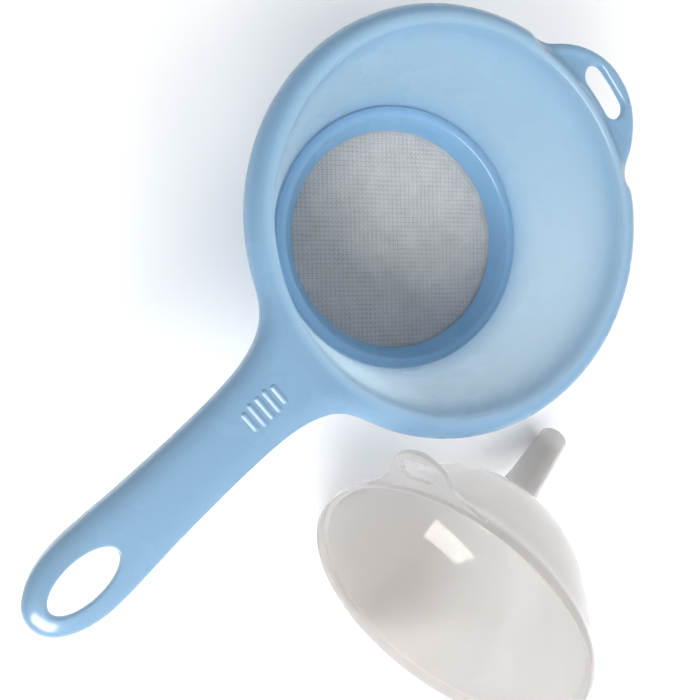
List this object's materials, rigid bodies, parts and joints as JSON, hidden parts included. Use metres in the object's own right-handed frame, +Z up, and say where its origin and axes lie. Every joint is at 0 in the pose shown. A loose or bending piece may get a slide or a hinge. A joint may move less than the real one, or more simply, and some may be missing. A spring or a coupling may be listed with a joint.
{
  "type": "handled strainer with a lift-out sieve and a small funnel",
  "caption": "Handled strainer bowl with a lift-out double mesh sieve and an open neck, shown with the small spouted funnel that comes with it.",
  "frame": {"origin": "centre of the bottom of the overall bounding box, on the plane that both articles stand on", "axes": "+Z up, the direction in which the sieve unit lifts out; -X along the handle from the bowl towards its hanging hole; +Y from the funnel towards the bowl"},
  "size_m": [0.2696, 0.2414, 0.1053],
  "materials": {
    "blue_plastic": "glossy moulded polypropylene, light blue, slightly translucent",
    "clear_plastic": "glossy natural polypropylene, milky and translucent",
    "steel_wire": "plain woven stainless wire cloth"
  },
  "bodies": {
    "strainer": {"strainer_body": "blue_plastic"},
    "sieve_unit": {"sieve_frame": "blue_plastic", "fine_mesh": "steel_wire", "coarse_mesh": "steel_wire", "mesh_retainer": "blue_plastic"},
    "funnel": {"funnel": "clear_plastic"}
  },
  "joints": [
    {"name": "sieve_lift", "type": "slide", "parent": "strainer", "child": "sieve_unit", "axis": [0, 0, 1], "range_m": [0, 0.09]},
    {"name": "funnel_lift", "type": "slide", "parent": "strainer", "child": "funnel", "axis": [0, 0, 1], "range_m": [0, 0.12]}
  ]
}
